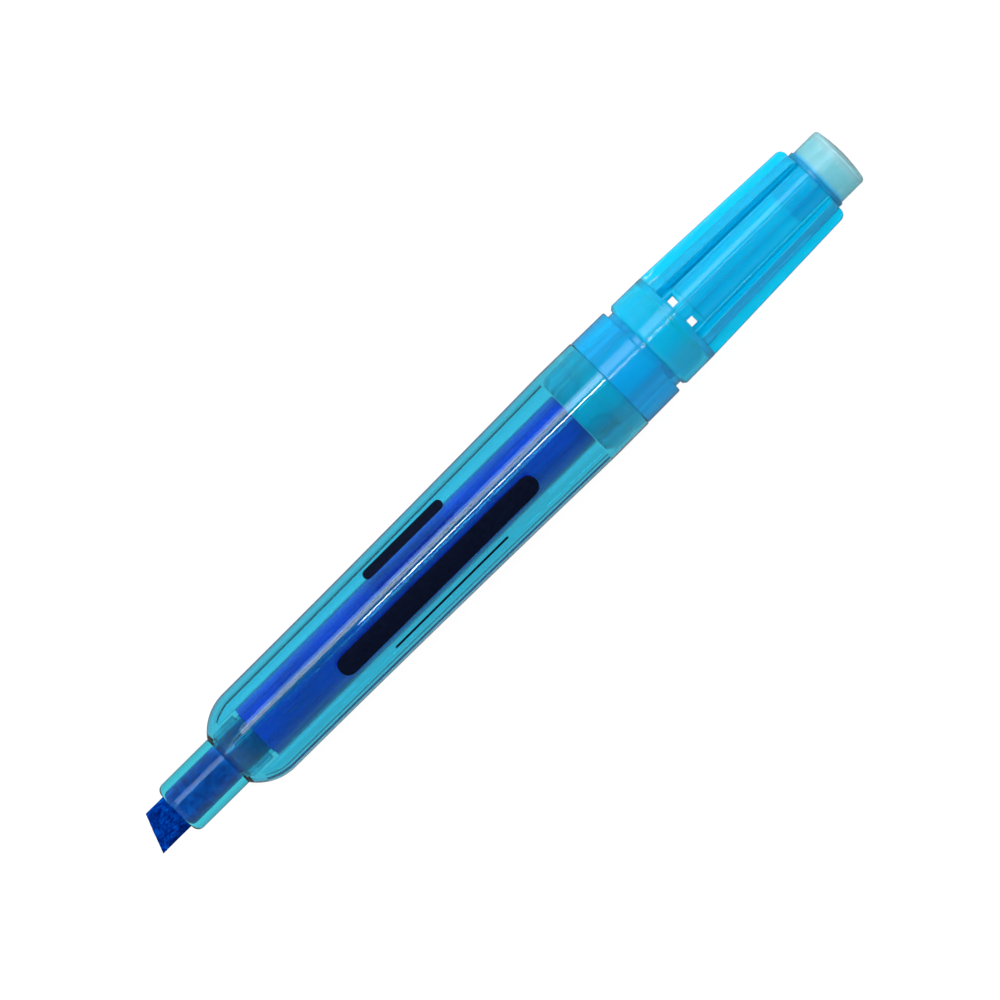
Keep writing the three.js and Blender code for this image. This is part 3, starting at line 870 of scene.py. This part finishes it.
def vent_faces(angles, half_vent, outer_vent, inner_vent):
    """The cells that are left open at the vents, and the faces that line each vent."""
    removed, extra = set(), []
    per_fin = len(angles) // FINS
    for fin in range(FINS):
        middle = math.pi / FINS + fin * 2 * math.pi / FINS
        low = nearest(angles, middle - half_vent)
        high = nearest(angles, middle + half_vent)
        assert 0 < high - low < per_fin
        for j in range(low, high):
            for k in outer_vent[:-1]:
                removed.add((k, j))
            for k in inner_vent[:-1]:
                removed.add((k, j))
            for a, b in ((outer_vent[0], inner_vent[-1]), (outer_vent[-1], inner_vent[0])):
                extra.append([(a, j), (a, j + 1), (b, j + 1), (b, j)])
        for j in (low, high):
            for i in range(VENT_RINGS - 1):
                a, b = outer_vent[i], outer_vent[i + 1]
                c, d = inner_vent[-1 - i], inner_vent[-2 - i]
                extra.append([(a, j), (b, j), (d, j), (c, j)])
    return removed, extra


def nearest(angles, wanted):
    """The point whose angle is nearest to the wanted one."""
    turn = 2 * math.pi
    return min(range(len(angles)), key=lambda j: abs((angles[j] - wanted + math.pi) % turn - math.pi))


def make_knob():
    """The hollow plug that closes the cap's end: spigot, flange and a slightly domed end."""
    spigot = SEAL_BORE - AIR
    flange_front = TUBE_REAR + AIR
    flange_rear = TUBE_REAR + 0.02 + PLUG_FLANGE

    def dome(radius):
        return LENGTH - (KNOB_DOME - math.sqrt(KNOB_DOME**2 - radius**2))

    corner = KNOB_RADIUS - KNOB_CORNER
    edge = dome(corner)
    inside = KNOB_RADIUS - KNOB_WALL
    profile = [
        (LENGTH - KNOB_WALL, 0),
        (dome(2.0) - KNOB_WALL, 2.0),
        (edge - KNOB_WALL, inside, 0.5),
        (flange_rear, inside, 0.15),
        (flange_rear - 0.4, spigot - END_SPIGOT_WALL, 0.2),
        (END_SPIGOT_FRONT, spigot - END_SPIGOT_WALL, 0.1),
        (END_SPIGOT_FRONT, spigot - 0.2, 0.05),
        (END_SPIGOT_FRONT + 0.6, spigot, 0.3),
        (flange_front, spigot, 0.05),
        (flange_front, TUBE_REAR_RADIUS - 0.03, 0.15),
        (flange_rear, TUBE_REAR_RADIUS - 0.03, 0.15),
        (flange_rear, KNOB_RADIUS, 0.08),
        *arc(edge - KNOB_CORNER, corner, KNOB_CORNER, 90, 12, 6),
        *[(dome(r), r) for r in (3.6, 2.9, 2.2, 1.5, 0.8)],
        (LENGTH, 0),
    ]
    knob = turned("cap_knob", profile, closed=False)
    return finish_piece(knob, "knob", "cap_end_plug", "cap")


# ------------------------------------------------------------------ plain print on the barrel
def ink_patch(name, x_start, x_end, y_start, y_end, corner):
    """A thin layer of ink on the barrel's top, a rounded bar in plan."""
    lift, thick = 0.004, 0.012
    columns = max(int((x_end - x_start) / 0.5), 6)
    rows = max(int((y_end - y_start) / 0.25), 4)
    corner = min(corner, (y_end - y_start) / 2, (x_end - x_start) / 2)

    def inset(x):
        past = max(x_start + corner - x, x - (x_end - corner), 0)
        return corner - math.sqrt(max(corner**2 - past**2, 0))

    stations = [x_start + corner * (1 - math.cos(math.radians(a))) for a in (8, 25, 45, 65)]
    stations += [x_start + corner + (x_end - x_start - 2 * corner) * i / columns for i in range(columns + 1)]
    stations += [x_end - corner * (1 - math.cos(math.radians(a))) for a in (65, 45, 25, 8)]
    coords, faces = [], []
    for level in (lift, lift + thick):
        for x in stations:
            radius = barrel_radius(x) + level
            for i in range(rows + 1):
                y = y_start + inset(x) + (y_end - y_start - 2 * inset(x)) * i / rows
                coords.append(to_world((x, y, math.sqrt(radius**2 - y**2))))
    per, layer = rows + 1, (rows + 1) * len(stations)
    last = len(stations) - 1
    for a in range(last):
        for i in range(rows):
            low = a * per + i
            faces.append([low, low + per, low + per + 1, low + 1])
            faces.append([layer + low, layer + low + 1, layer + low + per + 1, layer + low + per])
    rim = list(range(rows + 1)) + [a * per + rows for a in range(1, last + 1)]
    rim += [last * per + i for i in range(rows - 1, -1, -1)] + [a * per for a in range(last - 1, 0, -1)]
    for a, b in zip(rim, rim[1:] + rim[:1]):
        faces.append([a, b, b + layer, a + layer])
    return new_object(name, coords, faces)


def make_print():
    """Plain bars stand in for the maker's printing: they carry no letters and no mark."""
    bars = [
        ("print_band", 34.0, 70.5, -3.6, -0.7, 1.4),
        ("print_line_near", 41.5, 62.5, -5.15, -4.85, 0.15),
        ("print_line_far", 45.0, 59.5, 3.9, 5.3, 0.7),
    ]
    for name, x_start, x_end, y_start, y_end, corner in bars:
        bar = smooth(ink_patch(name, x_start, x_end, y_start, y_end, corner))
        bar.data.materials.append(MATERIALS["print"])
        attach(bar, "pen")


# ------------------------------------------------------------------ stage
CAMERA_HEIGHT = 1.6
VIEW_WIDTH = 0.13333  # of the plane through the pen's axis
VIEW_TURN = math.radians(-44.7)
VIEW_CENTRE = (0.04 * MM, -0.77 * MM)
SENSOR = 36.0
LIGHT_HEIGHT = 1.2
SOFT_LENGTH = 1.6
SOFT_BOXES = (("soft_box", 3.4, 0.52, 0.30), ("soft_box_edge", 2.8, 0.80, 0.26))  # radiance, across, width
SKY_TINT = (0.7, 0.8, 1.0)  # the soft boxes are a little blue
ROOM_SEEN = 0.7  # how bright the room looks through the plastic
ROOM_LIGHT = (0.9, 4.2)  # how brightly its darker and brighter sides light felt, fibre and ink
ROOM_SIDES = (-0.7, 0.7)  # Y of the directions in which those two sides begin
CEILING_FROM = (0.35, 0.92)  # Z of the directions between which walls turn to ceiling
ROOM_IN_MIRRORS = (0.4, 0.03)  # how bright its walls and its ceiling look in mirror images
FLOOR_SIZE = 6.0
LIGHT_BOUNCES, TRANSPARENT_BOUNCES = 28, 16


def make_camera():
    data = bpy.data.cameras.new("camera")
    data.sensor_width = SENSOR
    data.lens = SENSOR * CAMERA_HEIGHT / VIEW_WIDTH
    data.clip_start, data.clip_end = 0.01, 50
    camera = bpy.data.objects.new("camera", data)
    camera.location = (*VIEW_CENTRE, AXIS_HEIGHT + CAMERA_HEIGHT)
    camera.rotation_euler = (0, 0, VIEW_TURN)
    bpy.context.scene.collection.objects.link(camera)
    bpy.context.scene.camera = camera


def area_light(name, radiance, along, across, length, width, colour=(1, 1, 1)):
    """A level light that shines down, with its middle at (along, across)."""
    data = bpy.data.lights.new(name, "AREA")
    data.shape = "RECTANGLE"
    data.size, data.size_y = length, width
    data.energy = radiance * math.pi * length * width
    data.color = colour
    light = bpy.data.objects.new(name, data)
    light.location = (along, across, LIGHT_HEIGHT)
    bpy.context.scene.collection.objects.link(light)


def make_lights():
    """Two soft boxes give the broad sheen, and a small strip gives the white highlight line."""
    for name, radiance, across, width in SOFT_BOXES:
        area_light(name, radiance, 0.0, across, SOFT_LENGTH, width, SKY_TINT)
    area_light("strip", radiance=45.0, along=0.003, across=0.158, length=0.128, width=0.028)


def make_world():
    """A white studio. Its ceiling is dark in reflections, as a black flag beside the camera makes it."""
    world = bpy.data.worlds.new("studio")
    bpy.context.scene.world = world
    world.use_nodes = True
    tree = world.node_tree
    background = tree.nodes["Background"]
    place = tree.nodes.new("ShaderNodeTexCoord")
    split = tree.nodes.new("ShaderNodeSeparateXYZ")
    tree.links.new(place.outputs["Generated"], split.inputs[0])
    path = tree.nodes.new("ShaderNodeLightPath")

    def graded(axis, *numbers):
        node = tree.nodes.new("ShaderNodeMapRange")
        node.interpolation_type = "SMOOTHSTEP"
        for i, number in enumerate(numbers, start=1):
            node.inputs[i].default_value = number
        tree.links.new(split.outputs[axis], node.inputs[0])
        return node.outputs[0]

    def mixed(factor, a, b):
        node = tree.nodes.new("ShaderNodeMix")
        tree.links.new(factor, node.inputs["Factor"])
        for name, value in (("A", a), ("B", b)):
            if isinstance(value, float):
                node.inputs[name].default_value = value
            else:
                tree.links.new(value, node.inputs[name])
        return node.outputs["Result"]

    seen = mixed(mirror_ray(tree), ROOM_SEEN, graded("Z", *CEILING_FROM, *ROOM_IN_MIRRORS))
    strength = mixed(path.outputs["Diffuse Depth"], seen, graded("Y", *ROOM_SIDES, *ROOM_LIGHT))
    tree.links.new(strength, background.inputs["Strength"])
    background.inputs["Color"].default_value = (1, 1, 1, 1)


def make_floor():
    work = bmesh.new()
    bmesh.ops.create_grid(work, x_segments=8, y_segments=8, size=FLOOR_SIZE)
    mesh = bpy.data.meshes.new("floor")
    work.to_mesh(mesh)
    work.free()
    floor = bpy.data.objects.new("floor", mesh)
    mesh.materials.append(backdrop("floor_paper"))
    bpy.context.scene.collection.objects.link(floor)


def set_colour_and_light_paths():
    scene = bpy.context.scene
    scene.view_settings.view_transform = "Standard"
    scene.cycles.max_bounces = LIGHT_BOUNCES
    scene.cycles.transmission_bounces = LIGHT_BOUNCES
    scene.cycles.transparent_max_bounces = TRANSPARENT_BOUNCES


make_camera()
make_lights()
make_world()
make_floor()
set_colour_and_light_paths()
make_nib()
make_holder()
make_barrel()
make_core()
make_film()
make_plug()
make_cap()
make_knob()
make_print()
